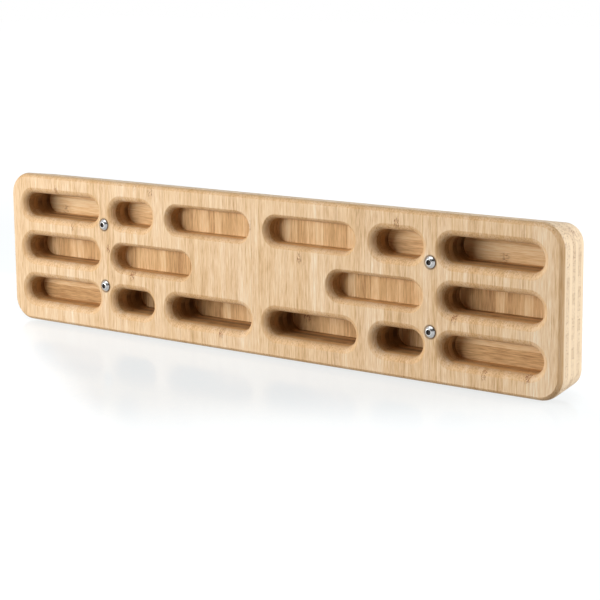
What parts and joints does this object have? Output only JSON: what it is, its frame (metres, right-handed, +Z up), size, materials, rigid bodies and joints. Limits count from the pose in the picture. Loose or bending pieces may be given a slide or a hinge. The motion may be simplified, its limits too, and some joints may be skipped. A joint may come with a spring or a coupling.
{
  "type": "hangboard",
  "caption": "Bamboo climbing hangboard: a cross-laminated block with rounded finger pockets of several lengths and depths, screwed flat to a wall.",
  "frame": {"origin": "middle of the flat back face, the face that lies on the wall", "axes": "+X along the board to the right as seen from the front, +Y out of the back into the wall, +Z up; the pockets open towards -Y"},
  "size_m": [0.638, 0.0449, 0.148],
  "materials": {
    "bamboo_upright": "satin, sanded and oiled",
    "bamboo_lengthwise": "satin, sanded and oiled",
    "stainless": "plain stainless steel"
  },
  "bodies": {
    "root": {"face_ply": "bamboo_upright", "core_ply_1": "bamboo_lengthwise", "core_ply_2": "bamboo_upright", "core_ply_3": "bamboo_lengthwise", "core_ply_4": "bamboo_upright", "core_ply_5": "bamboo_lengthwise", "back_ply": "bamboo_upright", "screw_upper_left": "stainless", "screw_upper_right": "stainless", "screw_lower_left": "stainless", "screw_lower_right": "stainless"}
  },
  "joints": []
}
